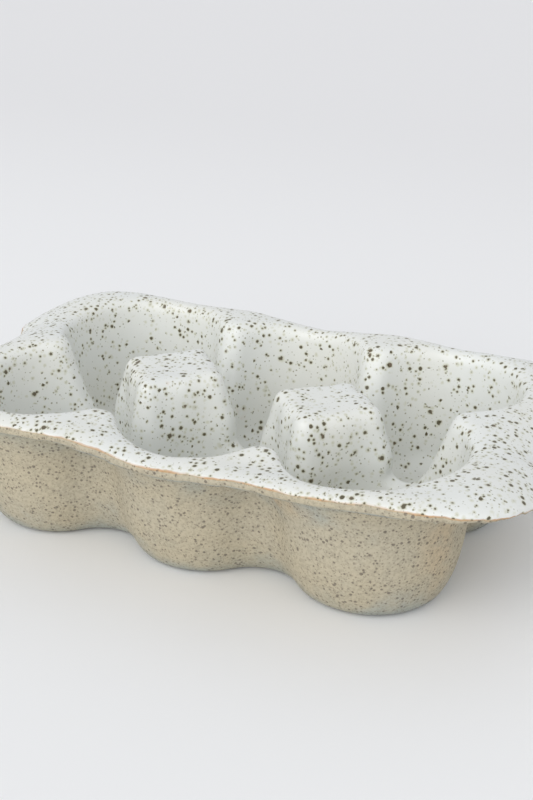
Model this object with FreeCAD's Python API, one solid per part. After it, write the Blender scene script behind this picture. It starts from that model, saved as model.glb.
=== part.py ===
import FreeCAD, Part
import math
import os

# Speckled stoneware egg tray for six eggs, in the form of a moulded carton.
# It is slip-cast in one piece: six round cups, a rim that joins them, two posts between
# the cups, folds (spurs) that reach in from the rim, and low saddles between cups.
# Millimetres. X runs along the three cups of a row, Y across the two rows, Z is up.
# The origin is on the table, under the middle of the tray.

# Layout of the cups
pitch_x = 49.0
pitch_y = 47.2
columns = 3
rows = 2

# Cups, inside
cup_rim_radius = 24.7
cup_wall_lean = 9.1
floor_thickness = 4.0
floor_round = 7.0
wall_thickness = 3.7

# Rim
rim_height = 41.0
rim_wave = 0.8
side_sag = 1.3
rim_thickness = 3.2
end_rim_width = 20.0
side_rim_width = 7.7
rim_corner_radius = 28.0
end_notch = 8.0
side_droop = 1.9
side_droop_width = 6.5
end_droop = 5.0
end_droop_width = 14.0

# Outer body
foot_inset = 4.3
foot_height = 16.0
valley_radius_foot = 13.5
valley_radius_rim = 8.0

# Saddles, posts and spurs
saddle_height = 15.0
saddle_radius = 5.0
post_top_height = 40.2
post_half_length = 13.4
post_half_width = 14.7
post_dish_radius = 90.0
side_spur_reach = 12.6
end_spur_reach = 13.0

# Hollow under each post
hollow_depth = 34.0
hollow_half_foot = 16.5
hollow_half_top = 8.5

# Rounded edges
ridge_round = 2.2
rim_inner_round = 2.0
rim_outer_round = 1.4
post_round = 2.0
rim_under_round = 0.8
rim_seat_round = 2.0

# Construction
cut_margin = 2.0
grid_step = 3.0
lobe_steps = 6
hollow_steps = (0.0, 0.35, 0.7, 1.0)

# Worked out from the sizes above
lean = math.tan(math.radians(cup_wall_lean))
half_x = pitch_x / 2
half_y = pitch_y / 2
column_places = [pitch_x * (i - (columns - 1) / 2) for i in range(columns)]
row_places = [pitch_y * (j - (rows - 1) / 2) for j in range(rows)]
cup_centres = [(x, y) for x in column_places for y in row_places]
end_x = column_places[-1]
half_length = end_x + cup_rim_radius + end_rim_width
half_width = half_y + cup_rim_radius + side_rim_width
corner_x = half_length - rim_corner_radius
corner_y = half_width - rim_corner_radius
# The notch at each end is an arc tangent to the two corner arcs.
notch_lift = rim_corner_radius - end_notch
notch_radius = (notch_lift ** 2 + corner_y ** 2 - rim_corner_radius ** 2) / (2 * end_notch)
notch_x = half_length - end_notch + notch_radius
block_height = rim_height + 4 * rim_wave + cut_margin
clear_height = block_height + cut_margin


def cup_radius(z):
    """Inside radius of a cup on its straight wall at height z."""
    return cup_rim_radius - (rim_height - z) * lean


def body_radius(z):
    """Outside radius of a lobe at height z, drawn in towards the foot."""
    low = max(0.0, 1 - z / foot_height)
    return cup_radius(z) + wall_thickness - foot_inset * (1 - math.sqrt(1 - low * low))


def point(x, y, z):
    return FreeCAD.Vector(x, y, z)


def tangent_circle(p, q, radius, valley):
    """Centre of the circle that touches the lobes at p and q, on the far side from the middle."""
    middle = (p + q) / 2
    along = (q - p)
    half = along.Length / 2
    along.normalize()
    out = point(-along.y, along.x, 0)
    if out.dot(middle) < 0:
        out = out * -1
    return middle + out * math.sqrt((radius + valley) ** 2 - half * half), out


def lobed_wire(z):
    """Outline of the body at height z: six lobe arcs joined by six tangent valley arcs."""
    radius = body_radius(z)
    valley = valley_radius_foot + (valley_radius_rim - valley_radius_foot) * z / rim_height
    # Cup centres in order around the tray, starting at the left end of the near row.
    around = [(x, row_places[0]) for x in column_places]
    around += [(x, row_places[-1]) for x in reversed(column_places)]
    centres = [point(x, y, z) for x, y in around]
    count = len(centres)
    valleys = []
    for i in range(count):
        valleys.append(tangent_circle(centres[i], centres[(i + 1) % count], radius, valley))
    edges = []
    for i, centre in enumerate(centres):
        before, _ = valleys[i - 1]
        after, out = valleys[i]
        start = centre + (before - centre) * (radius / (radius + valley))
        end = centre + (after - centre) * (radius / (radius + valley))
        at_end = abs(centre.x) > end_x - half_x
        outward = point(centre.x if at_end else 0, centre.y, 0)
        outward.normalize()
        edges.append(Part.Arc(start, centre + outward * radius, end).toShape())
        following = centres[(i + 1) % count]
        far = following + (after - following) * (radius / (radius + valley))
        edges.append(Part.Arc(end, after - out * valley, far).toShape())
    return Part.Wire(edges)


def lobes():
    """Closed outer body with its six lobes, from the foot up past the rim."""
    turns = [math.pi / 2 * k / lobe_steps for k in range(lobe_steps + 1)]
    heights = [foot_height * (1 - math.cos(turn)) for turn in turns]
    heights += [(foot_height + rim_height) / 2, rim_height, block_height]
    return Part.makeLoft([lobed_wire(z) for z in heights], True, False)


def edge_place(x, y):
    """Distance of a point in from the rim's outline, and how far that edge faces the end, 0 to 1."""
    x, y = abs(x), abs(y)
    if x <= corner_x:
        return half_width - y, 0.0
    if y * (notch_x - corner_x) < corner_y * (notch_x - x):
        return math.hypot(notch_x - x, y) - notch_radius, 1.0
    away = math.hypot(x - corner_x, y - corner_y)
    return rim_corner_radius - away, ((x - corner_x) / away) ** 2


def dip(distance, width, depth):
    """Smooth fall of a surface over the last part of its width."""
    share = min(1.0, max(0.0, 1 - distance / width))
    return depth * share * share


def rim_surface_height(x, y):
    """Height of the rim's top: low at each cup, high at each spur, and rolled down at its edges."""
    wave_x = -math.cos(2 * math.pi * x / pitch_x) if abs(x) < end_x else -1.0
    wave_y = math.cos(2 * math.pi * y / pitch_y) if abs(y) < half_y else -1.0
    height = rim_height + rim_wave * (2 + wave_x + wave_y)
    along = min(abs(x), corner_x) / corner_x
    height -= side_sag * (y / half_width) ** 2 * (1 + math.cos(math.pi * along)) / 2
    inset, end_share = edge_place(x, y)
    width = side_droop_width + (end_droop_width - side_droop_width) * end_share
    depth = side_droop + (end_droop - side_droop) * end_share
    return height - dip(inset, width, depth)


def rim_surface():
    """Wavy face that the top of the rim follows."""
    count_x = round(half_length / grid_step) + 1
    count_y = round(half_width / grid_step) + 1
    grid = []
    for i in range(-count_x, count_x + 1):
        x = i * grid_step
        line = []
        for j in range(-count_y, count_y + 1):
            y = j * grid_step
            line.append(point(x, y, rim_surface_height(x, y)))
        grid.append(line)
    surface = Part.BSplineSurface()
    surface.interpolate(grid)
    return surface.toShape()


def outline_prism():
    """Upright prism of the rim's outline: straight sides, round corners and notched ends."""
    base = rim_height - rim_thickness - 2 * end_droop
    share = rim_corner_radius / (rim_corner_radius + notch_radius)
    slant = math.pi / 4
    edges = []
    for side in (1, -1):
        side_start = point(side * corner_x, -side * half_width, base)
        corner_mid = point(side * (corner_x + rim_corner_radius * math.cos(slant)),
                           -side * (corner_y + rim_corner_radius * math.sin(slant)), base)
        notch_start = point(side * (corner_x + (notch_x - corner_x) * share),
                            -side * corner_y * (1 - share), base)
        notch_mid = point(side * (half_length - end_notch), 0, base)
        notch_end = point(notch_start.x, -notch_start.y, base)
        far_mid = point(corner_mid.x, -corner_mid.y, base)
        far_end = point(side_start.x, -side_start.y, base)
        next_start = point(-side_start.x, -side_start.y, base)
        edges.append(Part.Arc(side_start, corner_mid, notch_start).toShape())
        edges.append(Part.Arc(notch_start, notch_mid, notch_end).toShape())
        edges.append(Part.Arc(notch_end, far_mid, far_end).toShape())
        edges.append(Part.LineSegment(far_end, next_start).toShape())
    return Part.Face(Part.Wire(edges)).extrude(point(0, 0, block_height - base))


def cup_void(x, y):
    """Space inside one cup: flat floor, rounded foot and a leaning wall, turned about its axis."""
    turn = math.radians(90 - cup_wall_lean)
    wall_foot = cup_radius(floor_thickness)
    reach = floor_round * math.tan(turn / 2)
    floor_edge = wall_foot - reach
    middle = point(floor_edge + floor_round * math.sin(turn / 2), 0,
                   floor_thickness + floor_round * (1 - math.cos(turn / 2)))
    wall_start = point(floor_edge + floor_round * math.sin(turn), 0,
                       floor_thickness + floor_round * (1 - math.cos(turn)))
    axis_low = point(0, 0, floor_thickness)
    corner = point(floor_edge, 0, floor_thickness)
    wall_end = point(cup_radius(clear_height), 0, clear_height)
    axis_high = point(0, 0, clear_height)
    edges = [
        Part.LineSegment(axis_low, corner).toShape(),
        Part.Arc(corner, middle, wall_start).toShape(),
        Part.LineSegment(wall_start, wall_end).toShape(),
        Part.LineSegment(wall_end, axis_high).toShape(),
        Part.LineSegment(axis_high, axis_low).toShape(),
    ]
    cup = Part.Face(Part.Wire(edges)).revolve(point(0, 0, 0), point(0, 0, 1), 360)
    # The seam of the turned faces points away from every post and spur.
    cup.rotate(point(0, 0, 0), point(0, 0, 1), math.degrees(math.atan2(y, x)))
    cup.translate(point(x, y, 0))
    return cup


def trough_side(reach):
    """Where a trough's straight side leaves its round bottom, and where it ends at the top."""
    centre_z = saddle_height + saddle_radius
    dz = rim_height - centre_z
    distance = math.hypot(reach, dz)
    angle = math.atan2(dz, reach) - math.acos(saddle_radius / distance)
    low = (saddle_radius * math.cos(angle), centre_z + saddle_radius * math.sin(angle))
    slope = (reach - low[0]) / (rim_height - low[1])
    high = (reach + slope * (clear_height - rim_height), clear_height)
    return low, high


def trough(reach_back, reach_front, place):
    """Trough that opens a saddle between cups. place turns (across, height) into a point."""
    low_back, high_back = trough_side(reach_back)
    low_front, high_front = trough_side(reach_front)
    back_high = place(-high_back[0], high_back[1])
    back_low = place(-low_back[0], low_back[1])
    bottom = place(0, saddle_height)
    front_low = place(low_front[0], low_front[1])
    front_high = place(high_front[0], high_front[1])
    edges = [
        Part.LineSegment(back_high, back_low).toShape(),
        Part.Arc(back_low, bottom, front_low).toShape(),
        Part.LineSegment(front_low, front_high).toShape(),
        Part.LineSegment(front_high, back_high).toShape(),
    ]
    return Part.Face(Part.Wire(edges))


def troughs():
    """Troughs along both rows and across all three columns."""
    solids = []
    post_side = half_y - post_half_width
    for y in row_places:
        way = 1 if y > 0 else -1
        face = trough(post_side, side_spur_reach, lambda a, z, y=y, way=way: point(-end_x, y + way * a, z))
        solids.append(face.extrude(point(2 * end_x, 0, 0)))
    post_side = half_x - post_half_length
    for x in column_places:
        way = 1 if x > 0 else -1
        outer = end_spur_reach if abs(x) > half_x else post_side
        face = trough(post_side, outer, lambda a, z, x=x, way=way: point(x + way * a, -half_y, z))
        solids.append(face.extrude(point(0, pitch_y, 0)))
    return solids


def post_centres():
    return [(x + half_x, 0.0) for x in column_places[:-1]]


def post_caps():
    """Space above each post, with a slightly dished underside."""
    solids = []
    for x, y in post_centres():
        rise = post_half_width ** 2 / (2 * post_dish_radius)
        reach = max(post_half_length, post_half_width) + cut_margin
        base = post_top_height - rise - cut_margin
        drum = Part.makeCylinder(reach, clear_height - base, point(x, y, base))
        ball = Part.makeSphere(post_dish_radius)
        ball.translate(point(x, y, post_top_height - rise + post_dish_radius))
        solids.append(drum.common(ball))
    return solids


def hollow_wire(x, z, half_size):
    """Four concave sides that follow the cups, joined by small round corners."""
    radius = cup_radius(z) + wall_thickness
    corners = []
    sides = ((0, half_x, half_y), (90, half_y, half_x), (180, half_x, half_y), (270, half_y, half_x))
    for angle, across, beside in sides:
        gap = across - half_size
        small = (beside ** 2 + gap ** 2 - radius ** 2) / (2 * (radius - gap))
        direction = point(math.cos(math.radians(angle)), math.sin(math.radians(angle)), 0)
        corners.append((direction, half_size, small))
    centre = point(x, 0, z)
    cells = [point(x + a * half_x, b * half_y, z) for a, b in ((1, 1), (-1, 1), (-1, -1), (1, -1))]
    edges = []
    for i in range(4):
        direction, size, small = corners[i]
        small_centre = centre + direction * (size - small)
        cell_before = cells[i - 1]
        cell_after = cells[i]
        start = small_centre + (cell_before - small_centre) * (small / (cell_before - small_centre).Length)
        end = small_centre + (cell_after - small_centre) * (small / (cell_after - small_centre).Length)
        edges.append(Part.Arc(start, centre + direction * size, end).toShape())
        next_direction, next_size, next_small = corners[(i + 1) % 4]
        next_centre = centre + next_direction * (next_size - next_small)
        goal = next_centre + (cell_after - next_centre) * (next_small / (cell_after - next_centre).Length)
        towards = centre - cell_after
        towards.normalize()
        edges.append(Part.Arc(end, cell_after + towards * radius, goal).toShape())
    return Part.Wire(edges)


def post_hollows():
    """Tapered spaces under the posts, open at the foot."""
    solids = []
    for x, _ in post_centres():
        wires = []
        for share in hollow_steps:
            z = hollow_depth * share
            size = hollow_half_foot + (hollow_half_top - hollow_half_foot) * share
            wires.append(hollow_wire(x, z, size))
        solids.append(Part.makeLoft(wires, True, False))
    return solids


def kinds_beside(shape, edge):
    return sorted(type(f.Surface).__name__ for f in shape.ancestorsOfType(edge, Part.Face))


def ridge_edges(shape):
    """Edges where a trough meets the leaning wall of a cup."""
    pairs = (["Cone", "Cylinder"], ["Cone", "Plane"])
    return [e for e in shape.Edges if kinds_beside(shape, e) in pairs]


def post_top_edges(shape):
    tops = [f for f in shape.Faces if type(f.Surface).__name__ == "Sphere"]
    return [e for f in tops for e in f.Edges]


def rim_face(shape, height):
    """The face with an opening in it whose corners lie nearest to the given height."""
    ringed = [f for f in shape.Faces if len(f.Wires) > 1]
    return min(ringed, key=lambda f: abs(sum(v.Z for v in f.Vertexes) / len(f.Vertexes) - height))


def outline_edges(face):
    """Edges of a ringed face's outline."""
    return max(face.Wires, key=lambda w: w.BoundBox.XLength).Edges


def opening_edges(face):
    """Edges of a ringed face's opening."""
    return min(face.Wires, key=lambda w: w.BoundBox.XLength).Edges


def rounded(shape, radius, edges, name):
    result = shape.makeFillet(radius, edges)
    print(name, len(edges), "valid", result.isValid(), "volume", round(result.Volume))
    return result


def egg_tray():
    outside = lobes()
    body = outside.fuse(outline_prism())
    for x, y in cup_centres:
        body = body.cut(cup_void(x, y))
    body = body.cut(troughs())
    body = body.cut(post_caps())
    print("body", body.isValid(), len(body.Solids), round(body.Volume))
    body = rounded(body, ridge_round, ridge_edges(body), "ridges")
    body = rounded(body, post_round, post_top_edges(body), "post tops")
    top = rim_surface()
    over = top.extrude(point(0, 0, rim_height))
    under = top.translated(point(0, 0, -rim_thickness)).extrude(point(0, 0, -rim_height)).cut(outside)
    body = body.cut(over).cut(under)
    print("rim", body.isValid(), len(body.Solids), round(body.Volume))
    body = rounded(body, rim_inner_round, opening_edges(rim_face(body, rim_height)), "rim inner")
    body = rounded(body, rim_outer_round, outline_edges(rim_face(body, rim_height)), "rim outer")
    underside = rim_height - rim_thickness
    body = rounded(body, rim_under_round, outline_edges(rim_face(body, underside)), "rim under")
    body = rounded(body, rim_seat_round, opening_edges(rim_face(body, underside)), "rim seat")
    for hollow in post_hollows():
        body = body.cut(hollow)
    print("tray", body.isValid(), "solids", len(body.Solids), "volume", round(body.Volume))
    return body.Solids[0]


os.makedirs("parts", exist_ok=True)
tray = egg_tray()
tray.exportStep("parts/egg_tray.step")
box = tray.optimalBoundingBox()
print("size", round(box.XLength, 2), round(box.YLength, 2), round(box.ZLength, 2), "low", round(box.ZMin, 3))
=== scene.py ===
# %% [markdown]
# Egg tray in speckled stoneware.
# The real tray is cast in a plaster mould, fettled by hand, dipped in a pale satin glaze up to the
# edge of its rim, and fired. The outside stays bare clay. The construction model already has the true
# form, so this lesson loads it, gives its skin the softness of handwork, and builds one finish that
# knows where the glaze stops.

# %% Load the construction model
import bmesh
import bpy
import math
import numpy as np
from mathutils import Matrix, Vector, noise
from mathutils.bvhtree import BVHTree


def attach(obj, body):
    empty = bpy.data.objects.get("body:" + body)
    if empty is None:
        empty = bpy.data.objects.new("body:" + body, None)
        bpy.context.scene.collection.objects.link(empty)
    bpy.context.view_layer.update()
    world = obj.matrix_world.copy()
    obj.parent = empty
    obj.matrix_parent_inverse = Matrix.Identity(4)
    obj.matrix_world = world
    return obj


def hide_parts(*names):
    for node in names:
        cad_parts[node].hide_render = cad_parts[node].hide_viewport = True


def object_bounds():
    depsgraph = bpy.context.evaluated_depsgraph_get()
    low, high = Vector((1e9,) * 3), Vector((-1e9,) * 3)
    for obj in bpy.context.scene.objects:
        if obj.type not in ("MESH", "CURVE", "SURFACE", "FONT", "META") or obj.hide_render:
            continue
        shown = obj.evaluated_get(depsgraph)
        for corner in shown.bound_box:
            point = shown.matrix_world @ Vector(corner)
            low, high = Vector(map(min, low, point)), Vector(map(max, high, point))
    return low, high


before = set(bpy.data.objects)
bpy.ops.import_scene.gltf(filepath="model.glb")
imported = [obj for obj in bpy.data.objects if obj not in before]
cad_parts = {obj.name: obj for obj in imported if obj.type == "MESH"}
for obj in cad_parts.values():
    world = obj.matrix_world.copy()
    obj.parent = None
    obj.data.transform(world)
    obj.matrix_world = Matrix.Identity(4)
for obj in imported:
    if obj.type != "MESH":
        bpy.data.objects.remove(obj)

MM = 0.001
box_low, box_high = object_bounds()
tray_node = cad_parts["egg_tray"]
print("tray in mm", [round((b - a) / MM, 1) for a, b in zip(box_low, box_high)])

# %% [markdown]
# The camera comes first, because every later choice is judged through it. It stands in front of the
# tray, to the right and a little above, about forty centimetres away, with a short telephoto lens.
# Its place was worked out from the posts, the spurs and the foot, whose real places are known.

# %% Place the camera
CAMERA_TARGET = Vector((-5.04, 22.44, 25.0)) * MM
CAMERA_DISTANCE = 394.07 * MM
CAMERA_TURN = math.radians(26.89)
CAMERA_RISE = math.radians(22.70)
LENS = 57.95
SENSOR = 36.0


def place_camera():
    data = bpy.data.cameras.new("viewpoint")
    data.lens = LENS
    data.sensor_width = SENSOR
    camera = bpy.data.objects.new("viewpoint", data)
    back = Vector((
        math.sin(CAMERA_TURN) * math.cos(CAMERA_RISE),
        -math.cos(CAMERA_TURN) * math.cos(CAMERA_RISE),
        math.sin(CAMERA_RISE),
    ))
    camera.location = CAMERA_TARGET + back * CAMERA_DISTANCE
    camera.rotation_euler = (-back).to_track_quat("-Z", "Y").to_euler()
    bpy.context.scene.collection.objects.link(camera)
    bpy.context.scene.camera = camera
    return camera


print("camera at", [round(v, 4) for v in place_camera().location])

# %% [markdown]
# A cast edge is never crisp: the slip shrinks round the mould, a wet sponge takes off the seams, and
# glaze pools over what is left. A bevel would give each edge one even radius. Instead the whole skin
# is laid again as an even net of small faces, and the net is relaxed, which rounds sharp places most
# and leaves wide walls alone. The lip of the rim is thin, so it is relaxed far less than the posts.

# %% Lay an even net over the tray
NET_SIZE = 1.06 * MM
WELD = 0.002 * MM


def even_net(source, size):
    """A new object whose skin follows the source in faces of one size."""
    mesh = source.data.copy()
    shape = bmesh.new()
    shape.from_mesh(mesh)
    bmesh.ops.remove_doubles(shape, verts=shape.verts, dist=WELD)
    shape.to_mesh(mesh)
    shape.free()
    rough = bpy.data.objects.new("rough_tray", mesh)
    bpy.context.scene.collection.objects.link(rough)
    net = rough.modifiers.new("net", "REMESH")
    net.mode = "VOXEL"
    net.voxel_size = size
    ready = rough.evaluated_get(bpy.context.evaluated_depsgraph_get())
    laid = bpy.data.meshes.new_from_object(ready)
    bpy.data.objects.remove(rough)
    laid.materials.clear()
    return laid


net_mesh = even_net(tray_node, NET_SIZE)
print("net of", len(net_mesh.polygons), "faces")

# %% [markdown]
# The moves below are sums over every vertex at once, so the net is read into arrays. One class keeps
# which vertices share an edge, since relaxing and blurring both need the neighbours' mean.

# %% Read and write the net as arrays
def mesh_points(mesh):
    flat = np.empty(len(mesh.vertices) * 3)
    mesh.vertices.foreach_get("co", flat)
    return flat.reshape(-1, 3)


def mesh_normals(mesh):
    flat = np.empty(len(mesh.vertices) * 3)
    mesh.vertex_normals.foreach_get("vector", flat)
    return flat.reshape(-1, 3)


def mesh_edges(mesh):
    flat = np.empty(len(mesh.edges) * 2, dtype=np.int64)
    mesh.edges.foreach_get("vertices", flat)
    return flat.reshape(-1, 2)


def set_points(mesh, points):
    mesh.vertices.foreach_set("co", points.ravel())
    mesh.update()


class Neighbours:
    """Means over the vertices that share an edge with each vertex."""

    def __init__(self, edges, count):
        self.a = edges[:, 0]
        self.b = edges[:, 1]
        self.count = count
        self.shared = np.bincount(edges.ravel(), minlength=count)

    def mean(self, values):
        total = np.bincount(self.a, values[self.b], self.count)
        total += np.bincount(self.b, values[self.a], self.count)
        return total / self.shared

    def relax(self, values, weight):
        """Moves each column of values towards its neighbours' mean."""
        means = np.column_stack([self.mean(values[:, k]) for k in range(values.shape[1])])
        return values + weight[:, None] * (means - values)


points = mesh_points(net_mesh)
neighbours = Neighbours(mesh_edges(net_mesh), len(points))
print("vertices", len(points))

# %% [markdown]
# How far a vertex may relax depends on where it lies. The lip is found from the shape itself: from
# just outside the lip, nothing of the tray lies straight below. The same test, with one that looks
# straight up, later tells the glazed inside from the bare outside, so it is made once here.

# %% Find what is open to the sky and what hangs over the edge
PROBE = 0.9 * MM
LIFT = 0.3 * MM
LEAST_TILT = 0.05
UP = Vector((0, 0, 1))
DOWN = Vector((0, 0, -1))


def sky_and_edge(mesh):
    """Two arrays of 0 or 1: open to the sky above, and nothing of the tray below the outer side."""
    places = mesh_points(mesh)
    normals = mesh_normals(mesh)
    tree = BVHTree.FromPolygons(places.tolist(), [p.vertices[:] for p in mesh.polygons])
    sky = np.zeros(len(places))
    edge = np.zeros(len(places))
    for i, (place, normal) in enumerate(zip(places, normals)):
        start = Vector(place + normal * LIFT)
        sky[i] = tree.ray_cast(start, UP)[0] is None
        flat = math.hypot(normal[0], normal[1])
        if flat > LEAST_TILT:
            beside = Vector((
                place[0] + normal[0] / flat * PROBE,
                place[1] + normal[1] / flat * PROBE,
                place[2],
            ))
            edge[i] = tree.ray_cast(beside, DOWN)[0] is None
    return sky, edge


sky, edge = sky_and_edge(net_mesh)
print("open to the sky", int(sky.sum()), "on the outer edge", int(edge.sum()))

# %% [markdown]
# Relaxing moves each vertex towards the middle of its neighbours. Alone it would shrink the posts, so
# the slow part of the move is given back, and only the sharp places stay changed. The lip, and what
# lies low near the foot, take a small share of it.

# %% Relax the net
SOFT_ROUNDS = 24
GIVE_BACK_ROUNDS = 26
SOFT_WEIGHT = 0.5
LIP_SHARE = 0.08
LIP_BAND = 9 * MM
OUTSIDE_SHARE = 0.4
SPREAD_ROUNDS = 8
LOW_SHARE = 0.16
LOW_HEIGHT = 21 * MM


def softness(sky, edge, heights):
    """Share of full softness at each vertex, blurred so that it changes gently."""
    share = np.where(sky > 0.5, 1.0, OUTSIDE_SHARE)
    high = heights > box_high.z - LIP_BAND
    share = np.where((edge > 0.5) & high, LIP_SHARE, share)
    share = np.where(heights < LOW_HEIGHT, np.minimum(share, LOW_SHARE), share)
    for _ in range(SPREAD_ROUNDS):
        share = np.minimum(share, neighbours.mean(share))
    return np.clip(share, LIP_SHARE, 1.0)


def soften(points, share):
    """Relaxes the net, then gives back the slow part of the move, so that posts keep their height."""
    relaxed = points
    for _ in range(SOFT_ROUNDS):
        relaxed = neighbours.relax(relaxed, SOFT_WEIGHT * share)
    lost = relaxed - points
    for _ in range(GIVE_BACK_ROUNDS):
        lost = neighbours.relax(lost, np.full(len(lost), SOFT_WEIGHT))
    return relaxed - lost


points = soften(points, softness(sky, edge, points[:, 2]))
print("net relaxed, box in mm", np.round(np.ptp(points, axis=0) / MM, 2))

# %% [markdown]
# The relaxing has taken a little off the posts, and the real ones are fuller than a plain taper. Each
# post is swelled about its own middle line, most between its four corners near the top, and is then
# moved a trace. The left post stands higher than the right one.

# %% Make the posts fuller
POST_SWELL = 0.12
POST_FILL = 1.7
FILL_FROM = 20.0
FILL_FULL = 35.0
POST_REACH = 17.0
POST_FADE = 23.0
POST_FROM = 15.0
POST_FULL = 26.0
POSTS = (
    ("left post", (-24.5, 0.0), (0.3, 0.0, 1.7)),
    ("right post", (24.5, 0.0), (0.9, 0.0, 0.2)),
)


def ramp(values, low, high):
    """Smooth step from 0 at low to 1 at high."""
    share = np.clip((values - low) / (high - low), 0, 1)
    return share * share * (3 - 2 * share)


def fatten(points, middle, move):
    """Makes a post a little fuller, most between its four corners near the top, and moves it."""
    places = points / MM
    away = places[:, :2] - np.array(middle)
    reach = np.hypot(away[:, 0], away[:, 1])
    near = ramp(reach, POST_FADE, POST_REACH)
    share = near * ramp(places[:, 2], POST_FROM, POST_FULL)
    between = (1 - np.cos(4 * np.arctan2(away[:, 1], away[:, 0]))) / 2
    full = near * ramp(places[:, 2], FILL_FROM, FILL_FULL) * between
    fill = full * POST_FILL / np.maximum(reach, POST_FILL)
    places[:, :2] += away * (share * POST_SWELL + fill)[:, None]
    return (places + share[:, None] * np.array(move)) * MM


for name, middle, move in POSTS:
    points = fatten(points, middle, move)
    print(name, "made fuller by", POST_SWELL, "and moved by", move, "mm")

# %% [markdown]
# A wide thin rim seldom stays level in the kiln. On this tray the front of the rim has sunk, its inner
# edge dips at two near cups, and two corners have lifted. The saddles between the two rows stand about
# three millimetres higher than in the construction model. Each of these is a soft push: strongest at a
# centre, and gone a few centimetres away.

# %% Push the clay where the kiln moved it
PUSHES = (
    ("front of the rim", (14.0, -50.0, 40.0), (30.0, 14.0, 18.0), (0.0, -0.6, -1.5)),
    ("front spur of the right half", (24.5, -43.0, 41.0), (9.0, 10.0, 8.0), (0.0, -0.4, -1.2)),
    ("back of the left post", (-23.0, 9.0, 41.0), (12.0, 9.0, 10.0), (0.3, 0.0, 0.4)),
    ("inner edge at the near middle cup", (0.0, -46.0, 41.0), (18.0, 5.0, 6.0), (0.0, 0.0, -0.8)),
    ("inner edge at the near right cup", (48.0, -46.0, 41.0), (20.0, 5.0, 6.0), (0.0, 0.0, -2.0)),
    ("lip at the near right cup", (68.0, -53.0, 38.0), (17.0, 8.0, 12.0), (0.0, 0.0, 1.2)),
    ("near right corner", (88.0, -42.0, 36.0), (18.0, 18.0, 14.0), (0.0, 0.0, 2.2)),
    ("back of the right post", (24.0, 13.0, 42.0), (8.0, 7.0, 9.0), (-0.5, -0.5, -0.8)),
    ("front spur of the left half", (-24.5, -42.0, 41.0), (12.0, 9.0, 9.0), (0.0, 0.0, -0.5)),
    ("far left corner", (-80.0, 44.0, 40.0), (24.0, 18.0, 16.0), (0.0, 0.0, 1.8)),
    ("left saddle", (-49.0, 0.0, 16.0), (12.0, 7.0, 7.0), (0.0, 0.0, 3.0)),
    ("middle saddle", (0.0, 0.0, 16.0), (12.0, 7.0, 7.0), (0.0, 0.0, 3.0)),
    ("right saddle", (49.0, 0.0, 16.0), (12.0, 7.0, 7.0), (0.0, 0.0, 3.4)),
)


def push(points, centre, size, move):
    """Moves the points near the centre, with a bell-shaped falloff; all in millimetres."""
    away = (points / MM - np.array(centre)) / np.array(size)
    share = np.exp(-(away ** 2).sum(axis=1))
    return points + share[:, None] * np.array(move) * MM


for name, centre, size, move in PUSHES:
    points = push(points, centre, size, move)
    print(name, "moved by up to", max(abs(v) for v in move), "mm")

# %% [markdown]
# Handwork leaves slow swells that catch the light unevenly: a few tenths of a millimetre over two or
# three centimetres, and finer ones where the sponge passed. Two octaves of smooth noise along the
# skin's normal do this. Then the tray is fitted back inside the box of the construction model, and
# its foot is set flat on the table again.

# %% Add the swells of handwork
SWELLS = ((26.0 * MM, 0.34 * MM), (9.0 * MM, 0.12 * MM))
EDGE_MARGIN = 0.05 * MM
FOOT_BAND = 0.12 * MM


def swell(points, normals, width, depth):
    """Points moved along their normals by smooth noise of that width and depth."""
    moves = np.array([noise.noise(Vector(p / width)) for p in points])
    return points + normals * (moves * depth)[:, None]


def fit_in_box(points):
    """Stretches the points a trace, so that the box is the construction model's, with the foot at zero."""
    low = np.array(box_low) + EDGE_MARGIN * np.array((1, 1, 0))
    high = np.array(box_high) - EDGE_MARGIN
    share = (points - points.min(axis=0)) / np.ptp(points, axis=0)
    return low + share * (high - low)


set_points(net_mesh, points)
for width, depth in SWELLS:
    points = swell(points, mesh_normals(net_mesh), width, depth)
points = fit_in_box(points)
points[:, 2] = np.where(points[:, 2] < FOOT_BAND, 0.0, points[:, 2])
set_points(net_mesh, points)
print("swollen, box in mm", np.round(np.ptp(points, axis=0) / MM, 2))

# %% [markdown]
# The glaze covers all that the potter's dip and brush reached: the cups, the posts and the top of the
# rim, out to the turn of its lip. That border is a place on the skin, not in space, so it is stored
# on the vertices. The value is the slope of the skin at the lip, from 1 facing up to -1 facing down,
# a high value all over the inside, and a low one all over the outside.

# %% Store how well the glaze covers each vertex
INSIDE_COVER = 0.9
OUTSIDE_COVER = -1.0
COVER_BLUR = 2
RIM_BAND = 14 * MM
GLAZED_ABOVE = 0.3


def glaze_cover(mesh, sky, edge):
    slope = mesh_normals(mesh)[:, 2]
    high = mesh_points(mesh)[:, 2] > box_high.z - RIM_BAND
    inside = (sky > 0.5) & ~((edge > 0.5) & high)
    cover = np.where(inside, np.maximum(slope, INSIDE_COVER), slope)
    cover = np.where(sky < 0.5, np.minimum(cover, np.where(edge > 0.5, slope, OUTSIDE_COVER)), cover)
    for _ in range(COVER_BLUR):
        cover = 0.5 * cover + 0.5 * neighbours.mean(cover)
    return cover


cover = glaze_cover(net_mesh, sky, edge)
stored = net_mesh.attributes.new("glaze_cover", "FLOAT", "POINT")
stored.data.foreach_set("value", cover.astype(np.float32))
print("glazed share of the skin", round(float((cover > GLAZED_ABOVE).mean()), 2))

# %% [markdown]
# The net becomes the one piece that is seen. It stands for the construction model's tray and rides on the
# same body.

# %% Make the tray's visible piece
for face in net_mesh.polygons:
    face.use_smooth = True
tray = bpy.data.objects.new("glazed_tray", net_mesh)
bpy.context.scene.collection.objects.link(tray)
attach(tray, "root")
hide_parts("egg_tray")
print("tray piece with", sum(len(p.vertices) - 2 for p in net_mesh.polygons), "triangles")

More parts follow.
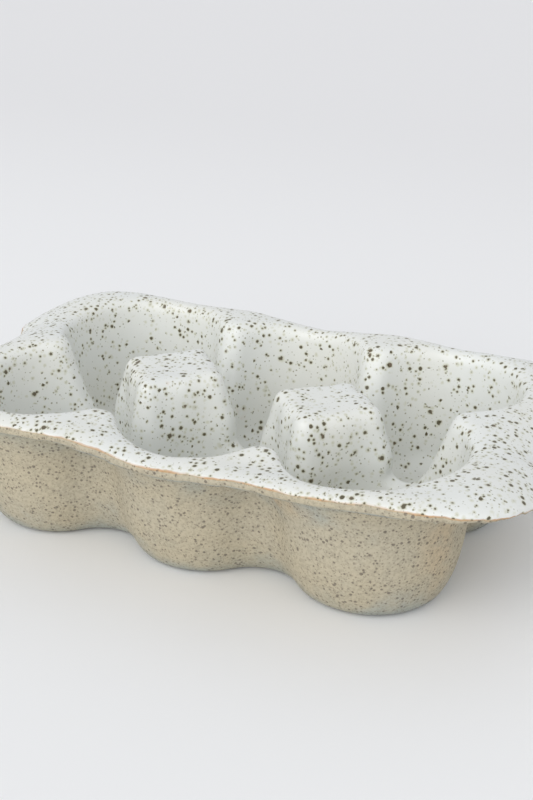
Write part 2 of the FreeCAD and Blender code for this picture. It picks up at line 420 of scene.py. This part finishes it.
# %% [markdown]
# The finish is built from sums over the surface: how far from a speck, how much glaze, how warm the
# clay. Writing them as Python sums keeps them readable, so one small class wraps a socket and turns
# each operator into a Math node. Everything else, from noise to colour mixes, comes from one method.

# %% Wrap sockets so that sums build nodes
class Wire:
    """One value that flows through a material. Sums with numbers or other wires add Math nodes."""

    def __init__(self, socket):
        self.socket = socket

    def math(self, operation, *others):
        values = dict(enumerate((self, *others)))
        return node(self.socket.id_data, "ShaderNodeMath", {"operation": operation}, values)

    def __add__(self, other):
        return self.math("ADD", other)

    def __sub__(self, other):
        return self.math("SUBTRACT", other)

    def __mul__(self, other):
        return self.math("MULTIPLY", other)

    def __rsub__(self, other):
        return (self * -1).math("ADD", other)

    __radd__ = __add__
    __rmul__ = __mul__

    def between(self, low, high):
        """Smooth step from 0 where the value is at low to 1 where it is at high."""
        sockets = {0: self, 1: low, 2: high}
        settings = {"interpolation_type": "SMOOTHSTEP"}
        return node(self.socket.id_data, "ShaderNodeMapRange", settings, sockets)


def node(tree, kind, settings=None, sockets=None, out=0):
    """Adds a node, sets it up, fills or links its sockets, and gives back one of its outputs."""
    made = tree.nodes.new(kind)
    for name, value in (settings or {}).items():
        setattr(made, name, value)
    for name, value in (sockets or {}).items():
        if isinstance(value, Wire):
            tree.links.new(value.socket, made.inputs[name])
        else:
            made.inputs[name].default_value = value
    return Wire(made.outputs[out]) if made.outputs else None


def srgb(red, green, blue):
    """A colour given in the 0 to 255 values of a picture, as the linear colour that a shader takes."""
    shares = [c / 255 for c in (red, green, blue)]
    linear = [c / 12.92 if c <= 0.04045 else ((c + 0.055) / 1.055) ** 2.4 for c in shares]
    return (*linear, 1.0)


print("middle grey as a shader takes it", [round(c, 3) for c in srgb(128, 128, 128)])

# %% [markdown]
# Three more helpers do most of the work from here on. One mixes two colours, one shifts a place, and
# one gives soft clouds of noise of a stated width.

# %% Small helpers for colours, places and noise
MIX_FACTOR, MIX_A, MIX_B, MIX_RESULT = 0, 6, 7, 2


def mix(tree, share, first, second):
    """First colour where the share is 0, second where it is 1."""
    sockets = {MIX_FACTOR: share, MIX_A: first, MIX_B: second}
    return node(tree, "ShaderNodeMix", {"data_type": "RGBA"}, sockets, MIX_RESULT)


def shifted(tree, place, offset):
    return node(tree, "ShaderNodeVectorMath", {"operation": "ADD"}, {0: place, 1: offset})


def cloud(tree, place, width, detail=2.0):
    """Smooth noise from 0 to 1, in blotches about that wide in metres."""
    return node(tree, "ShaderNodeTexNoise", {}, {"Vector": place, "Scale": 1 / width, "Detail": detail})


print("helpers for sums, colours and noise are ready")

# %% [markdown]
# The specks are grains of iron in the clay that melt and bleed into the glaze. On the real tray each
# grain is a small lump in the body, and the skin cuts through some of them, so a speck's size depends
# on how near the skin the grain lies. A 3-D cell pattern does the same: each cell may hold one round
# grain, and the surface slices it. A little noise on the place makes the outlines uneven.

# %% One layer of grains
SEED_STEP = (0.137, 0.071, 0.193)
HALO_WIDTH = 0.9
CRISP = 0.22
BLURRED = 0.4


def grains(tree, place, sizes, share, seed, soften=CRISP):
    """Core and halo masks of grains, one at most in a cell; sizes are the cell and both radii."""
    cell, smallest, largest = sizes
    moved = shifted(tree, place, tuple(seed * step for step in SEED_STEP))
    nearest = node(tree, "ShaderNodeTexVoronoi", {}, {"Vector": moved, "Scale": 1 / cell}, "Distance")
    draws = Wire(nearest.socket.node.outputs["Color"])
    distance = nearest * cell
    chance = node(tree, "ShaderNodeSeparateColor", {}, {0: draws}, 0)
    draw = node(tree, "ShaderNodeSeparateColor", {}, {0: draws}, 1)
    there = (share - chance).math("GREATER_THAN", 0.0)
    radius = smallest + draw * draw * (largest - smallest)
    reach = radius - distance
    core = reach.between(-largest * soften, largest * soften) * there
    halo = reach.between(-largest * HALO_WIDTH, 0.0) * there
    return core, halo


def uneven(tree, place, width, reach):
    """The place pushed about by noise, so that outlines drawn from it aren't perfect."""
    sockets = {"Vector": place, "Scale": 1 / width, "Detail": 1.0}
    pushed = node(tree, "ShaderNodeTexNoise", {}, sockets, "Color")
    centred = node(tree, "ShaderNodeVectorMath", {"operation": "SUBTRACT"}, {0: pushed, 1: (0.5, 0.5, 0.5)})
    short = node(tree, "ShaderNodeVectorMath", {"operation": "SCALE"}, {0: centred, "Scale": reach})
    return node(tree, "ShaderNodeVectorMath", {"operation": "ADD"}, {0: place, 1: short})


print("halo of a speck reaches", HALO_WIDTH, "of its largest radius beyond it")

# %% [markdown]
# The glaze is a cool white with a trace of green, a little thinner and warmer in some clouds. Its
# specks come in three sizes. The large ones have a pale brown heart and a dark ring, the middle ones
# are nearly black-brown, and the small ones are soft and olive, because the glaze covers them.

# %% Colour of the glaze
GLAZE = srgb(226, 228, 225)
GLAZE_WARM = srgb(227, 226, 218)
SPECK_DARK = srgb(68, 56, 20)
SPECK_OLIVE = srgb(116, 110, 66)
SPECK_HEART = srgb(112, 94, 74)
SPECK_BLEED = srgb(184, 182, 144)
LINE = srgb(190, 146, 100)
LARGE_SPECKS = (3.6 * MM, 0.38 * MM, 0.78 * MM)
MIDDLE_SPECKS = (1.6 * MM, 0.22 * MM, 0.60 * MM)
SMALL_SPECKS = (1.0 * MM, 0.09 * MM, 0.30 * MM)
WARM_STRENGTH = 0.6
BLEED_STRENGTH = 0.5
SMALL_STRENGTH = 0.75
MIDDLE_STRENGTH = 0.94
LARGE_STRENGTH = 0.92
HEART_STRENGTH = 0.7
PATCH_FADE = (0.1, 1.25)


def patch(tree, place, centre, size):
    """Soft spot, 1 at its centre, with its half sizes in millimetres along X, Y and Z."""
    away = shifted(tree, place, tuple(-c * MM for c in centre))
    shares = {0: away, 1: tuple(1 / (s * MM) for s in size)}
    scaled = node(tree, "ShaderNodeVectorMath", {"operation": "MULTIPLY"}, shares)
    length = node(tree, "ShaderNodeVectorMath", {"operation": "LENGTH"}, {0: scaled}, "Value")
    return 1 - length.between(*PATCH_FADE)


def strongest(masks):
    """The highest of several masks at each place."""
    highest = masks[0]
    for mask in masks[1:]:
        highest = highest.math("MAXIMUM", mask)
    return highest


RIM_SPECKS_FROM = 34 * MM
RIM_SPECKS_TO = 40 * MM
POST_SPOTS = (
    ((-24.5, 0.0, 28.0), (20.0, 20.0, 26.0)),
    ((24.5, 0.0, 28.0), (20.0, 20.0, 26.0)),
)


def glaze_colour(tree, place, thin):
    """Colour of the glaze, and a mask of its specks for the bump and the gloss."""
    bent = uneven(tree, place, 0.9 * MM, 0.35 * MM)
    posts = strongest([patch(tree, place, centre, size) for centre, size in POST_SPOTS])
    height = node(tree, "ShaderNodeSeparateXYZ", {}, {0: place}, "Z")
    exposed = posts.math("MAXIMUM", height.between(RIM_SPECKS_FROM, RIM_SPECKS_TO))
    crowd = cloud(tree, place, 9 * MM, 1.0).between(0.36, 0.64) * 0.6 + exposed * 0.7
    cluster = cloud(tree, place, 3.2 * MM, 1.0).between(0.52, 0.66)
    ragged = uneven(tree, place, 1.1 * MM, 0.9 * MM)
    large_share = 0.08 + crowd * 0.42
    middle_share = 0.18 + crowd * 0.5 + cluster * 0.35
    small_share = 0.35 + crowd * 0.45
    large, large_halo = grains(tree, ragged, LARGE_SPECKS, large_share, 1)
    middle, middle_halo = grains(tree, bent, MIDDLE_SPECKS, middle_share, 2)
    small, _ = grains(tree, bent, SMALL_SPECKS, small_share, 3, BLURRED)
    tint = cloud(tree, place, 38 * MM).between(0.35, 0.75)
    colour = mix(tree, tint * WARM_STRENGTH, GLAZE, GLAZE_WARM)
    colour = mix(tree, thin, colour, LINE)
    bleed = large_halo.math("MAXIMUM", middle_halo)
    colour = mix(tree, bleed * BLEED_STRENGTH, colour, SPECK_BLEED)
    colour = mix(tree, small * SMALL_STRENGTH, colour, SPECK_OLIVE)
    colour = mix(tree, middle * MIDDLE_STRENGTH, colour, SPECK_DARK)
    colour = mix(tree, large * LARGE_STRENGTH, colour, SPECK_DARK)
    heart = cloud(tree, place, 0.8 * MM, 1.0).between(0.48, 0.62)
    colour = mix(tree, large * heart * HEART_STRENGTH, colour, SPECK_HEART)
    return colour, middle.math("MAXIMUM", large)


print("largest specks in mm", round(2 * LARGE_SPECKS[2] / MM, 2), "across")

# %% [markdown]
# The bare clay outside is a warm grey buff. Its grains are finer and far more crowded, dull brown
# rather than black, and between them the clay is mottled. A flash of iron warms it in a few places
# where the flame of the kiln licked it: under the lip, and on the shoulder of the end cup.

# %% Colour of the bare clay
CLAY = srgb(162, 166, 158)
CLAY_WARM = srgb(170, 168, 152)
CLAY_FLASH = srgb(196, 168, 132)
CLAY_GRAIN = srgb(84, 75, 68)
CLAY_DUST = srgb(122, 115, 102)
# Painted highlight: the bare lip is painted paler than the wall where its upper turn faces the light.
LIP_PAINTED_HIGHLIGHT = srgb(190, 177, 150)
COARSE_GRAINS = (1.05 * MM, 0.16 * MM, 0.46 * MM)
FINE_GRAINS = (0.66 * MM, 0.10 * MM, 0.27 * MM)
COARSE_SHARE = 0.75
FINE_SHARE = 0.85
COARSE_SOFTEN = 0.3
FLASH_STRENGTH = 0.85
LIP_HIGHLIGHT_STRENGTH = 0.7
MOTTLE_STRENGTH = 0.3
FINE_STRENGTH = 0.6
COARSE_STRENGTH = 0.66
FLASHES = (
    ((30.0, -47.0, 31.0), (15.0, 9.0, 5.0)),
    ((72.0, -34.0, 20.0), (7.0, 8.0, 20.0)),
    ((-62.0, -44.0, 30.0), (14.0, 9.0, 5.0)),
    ((-70.0, 30.0, 24.0), (9.0, 14.0, 9.0)),
    ((10.0, 49.0, 26.0), (16.0, 9.0, 8.0)),
)


def clay_colour(tree, place, thin, lip):
    """Colour of the bare clay, with the lip painted paler as a painted highlight, and a mask of its grains
    for the bump.
    """
    bent = uneven(tree, place, 0.6 * MM, 0.3 * MM)
    coarse, _ = grains(tree, bent, COARSE_GRAINS, COARSE_SHARE, 5, COARSE_SOFTEN)
    fine, _ = grains(tree, bent, FINE_GRAINS, FINE_SHARE, 6, BLURRED)
    mottle = cloud(tree, place, 0.9 * MM, 3.0).between(0.38, 0.68)
    tone = cloud(tree, place, 15 * MM).between(0.38, 0.62)
    colour = mix(tree, tone, CLAY, CLAY_WARM)
    warm = strongest([patch(tree, place, centre, size) for centre, size in FLASHES])
    warm = warm * cloud(tree, place, 7 * MM).between(0.3, 0.6)
    colour = mix(tree, warm * FLASH_STRENGTH, colour, CLAY_FLASH)
    # Painted highlight: the lip band, found from the slope of the skin, is painted paler than the wall.
    colour = mix(tree, lip * LIP_HIGHLIGHT_STRENGTH, colour, LIP_PAINTED_HIGHLIGHT)
    colour = mix(tree, thin, colour, LINE)
    colour = mix(tree, mottle * MOTTLE_STRENGTH, colour, CLAY_DUST)
    colour = mix(tree, fine * FINE_STRENGTH, colour, CLAY_DUST)
    colour = mix(tree, coarse * COARSE_STRENGTH, colour, CLAY_GRAIN)
    return colour, coarse


print("flashes of iron", len(FLASHES))

# %% [markdown]
# Where the glaze stops, it runs thin over the clay and the iron turns it orange. That line follows
# the turn of the lip, wanders a little, and is wider in some stretches. Below it the lip is bare clay,
# painted paler than the wall as a painted highlight, because the upper turn of the lip catches more
# light than the wall below it. All of this is read from the stored cover value, with noise added so
# that the border isn't as even as the lip.

# %% The tray's one finish
BORDER = 0.55
BORDER_WANDER = 0.8
LOW_BORDERS = (
    ((90.0, -36.0, 38.0), (24.0, 26.0, 24.0)),
    ((90.0, 30.0, 38.0), (20.0, 24.0, 24.0)),
)
LOW_BORDER_DROP = 1.0
LINE_WIDTH = 0.19
LINE_CORE = 0.35
LINE_LEAST = 0.2
LINE_MORE = 0.7
GLAZE_EDGE = 0.05
LIP_FADE = (-1.25, -0.8)
GLAZE_ROUGHNESS = 0.29
SPECK_ROUGHNESS = 0.5
CLAY_ROUGHNESS = 0.86
COAT = 0.3
COAT_ROUGHNESS = 0.16
GLOSS_DRIFT = 0.08
RIPPLE_RISE = 0.5
SPECK_DIP = 0.12
GRAIN_RISE = 0.22
GRIT_DIP = 0.2
BUMP_STRENGTH = 0.5
BUMP_DEPTH = 0.22 * MM


def stoneware_finish():
    material = bpy.data.materials.new("speckled_stoneware")
    material.use_nodes = True
    tree = material.node_tree
    tree.nodes.clear()
    place = node(tree, "ShaderNodeTexCoord", out="Object")
    cover = node(tree, "ShaderNodeAttribute", {"attribute_name": "glaze_cover"}, out="Fac")
    wander = (cloud(tree, place, 9 * MM, 3.0) - 0.5) * BORDER_WANDER
    dipped = strongest([patch(tree, place, centre, size) for centre, size in LOW_BORDERS])
    level = cover + wander + dipped * LOW_BORDER_DROP - BORDER
    glazed = level.between(-GLAZE_EDGE, GLAZE_EDGE)
    thin = 1 - level.math("ABSOLUTE").between(LINE_WIDTH * LINE_CORE, LINE_WIDTH)
    stretches = cloud(tree, place, 11 * MM, 3.0).between(0.35, 0.65)
    line = thin * (stretches * LINE_MORE + LINE_LEAST)
    # The lip band, from the slope of the skin; the clay there is painted paler as a painted highlight.
    lip = level.between(*LIP_FADE)
    white, specks = glaze_colour(tree, place, line)
    buff, grit = clay_colour(tree, place, line, lip)
    colour = mix(tree, glazed, buff, white)
    ripple = cloud(tree, place, 5 * MM, 2.0)
    grain = cloud(tree, place, 0.5 * MM, 3.0)
    smooth_height = ripple * RIPPLE_RISE - specks * SPECK_DIP
    rough_height = grain * GRAIN_RISE + grit * -GRIT_DIP
    height = smooth_height * glazed + rough_height * (1 - glazed)
    bump = node(tree, "ShaderNodeBump", {}, {
        "Strength": BUMP_STRENGTH,
        "Distance": BUMP_DEPTH,
        "Height": height,
    })
    duller = specks * (SPECK_ROUGHNESS - GLAZE_ROUGHNESS)
    gloss = GLAZE_ROUGHNESS + cloud(tree, place, 16 * MM) * GLOSS_DRIFT + duller
    roughness = gloss * glazed + (1 - glazed) * CLAY_ROUGHNESS
    surface = node(tree, "ShaderNodeBsdfPrincipled", {}, {
        "Base Color": colour,
        "Roughness": roughness,
        "Coat Weight": glazed * COAT,
        "Coat Roughness": COAT_ROUGHNESS,
        "Specular IOR Level": 0.5,
        "Normal": bump,
    })
    node(tree, "ShaderNodeOutputMaterial", {}, {"Surface": surface})
    return material


tray.data.materials.append(stoneware_finish())
print("finish with", len(tray.data.materials[0].node_tree.nodes), "nodes")

# %% [markdown]
# The tray stands on a wide, pale, matt surface that runs out of view behind it. Its colour is painted
# a little darker towards the back, a painted shade for the light that falls off across the table. A sun
# lamp with a very wide disc stands in for a big soft window low at the front, a little to the left. The
# sky fills the shadows and is brightest on the same side. Added up, a flat white surface gets about the
# light at which its colour renders as it is written.

# %% Set the floor and the light
FLOOR_NEAR = (0.885, 0.887, 0.895, 1.0)
# Painted shade: the floor's colour towards the back, darker for the light falling off across it.
FLOOR_FAR_PAINTED_SHADE = (0.80, 0.795, 0.805, 1.0)
FLOOR_SHADE_TURN = (0.0, 0.6)
FLOOR_ROUGHNESS = 0.9
FLOOR_SHINE = 0.1
SUN_STRENGTH = 0.85
SUN_DISC = math.radians(60)
SUN_FROM = Vector((-0.20, -0.85, 0.48))
SKY_FRONT = (0.98, 0.984, 0.985, 1.0)
SKY_BACK = (0.94, 0.965, 1.0, 1.0)
SKY_STRENGTH = 0.62
SKY_FRONT_SHARE = 1.3
SKY_BACK_SHARE = 0.38
SKY_TURN = (-0.4, 0.4)
FRONT = Vector((0.1, -0.99, 0.0))
FLOOR_SIZE = 9.0


def make_floor():
    bpy.ops.mesh.primitive_plane_add(size=FLOOR_SIZE, location=(0, 0, 0))
    floor = bpy.context.object
    floor.name = "floor"
    material = bpy.data.materials.new("pale_table")
    material.use_nodes = True
    tree = material.node_tree
    skin = tree.nodes["Principled BSDF"]
    place = node(tree, "ShaderNodeTexCoord", out="Object")
    depth = node(tree, "ShaderNodeSeparateXYZ", {}, {0: place}, "Y")
    # Painted shade: the floor's colour darkens from front to back.
    floor_with_painted_shade = mix(tree, depth.between(*FLOOR_SHADE_TURN), FLOOR_NEAR, FLOOR_FAR_PAINTED_SHADE)
    tree.links.new(floor_with_painted_shade.socket, skin.inputs["Base Color"])
    skin.inputs["Roughness"].default_value = FLOOR_ROUGHNESS
    skin.inputs["Specular IOR Level"].default_value = FLOOR_SHINE
    floor.data.materials.append(material)
    return floor


def make_light():
    sun = bpy.data.lights.new("window", "SUN")
    sun.energy = SUN_STRENGTH
    sun.angle = SUN_DISC
    lamp = bpy.data.objects.new("window", sun)
    lamp.rotation_euler = (-SUN_FROM).to_track_quat("-Z", "Y").to_euler()
    bpy.context.scene.collection.objects.link(lamp)
    return lamp


def make_sky():
    """A pale sky, brightest low at the front, and a little cooler and brighter low at the back."""
    world = bpy.data.worlds.new("sky")
    world.use_nodes = True
    tree = world.node_tree
    shade = tree.nodes["Background"]
    way = node(tree, "ShaderNodeTexCoord", out="Generated")
    sides = {0: way, 1: FRONT.normalized()}
    facing = node(tree, "ShaderNodeVectorMath", {"operation": "DOT_PRODUCT"}, sides, "Value")
    lift = (facing * SKY_FRONT_SHARE).math("MAXIMUM", facing * -SKY_BACK_SHARE)
    strength = (lift + 1) * SKY_STRENGTH
    tint = mix(tree, facing.between(*SKY_TURN), SKY_BACK, SKY_FRONT)
    tree.links.new(tint.socket, shade.inputs["Color"])
    tree.links.new(strength.socket, shade.inputs["Strength"])
    bpy.context.scene.world = world
    return world


print("floor", make_floor().name, "lamp", make_light().name, "world", make_sky().name)
bpy.context.scene.view_settings.view_transform = "Standard"
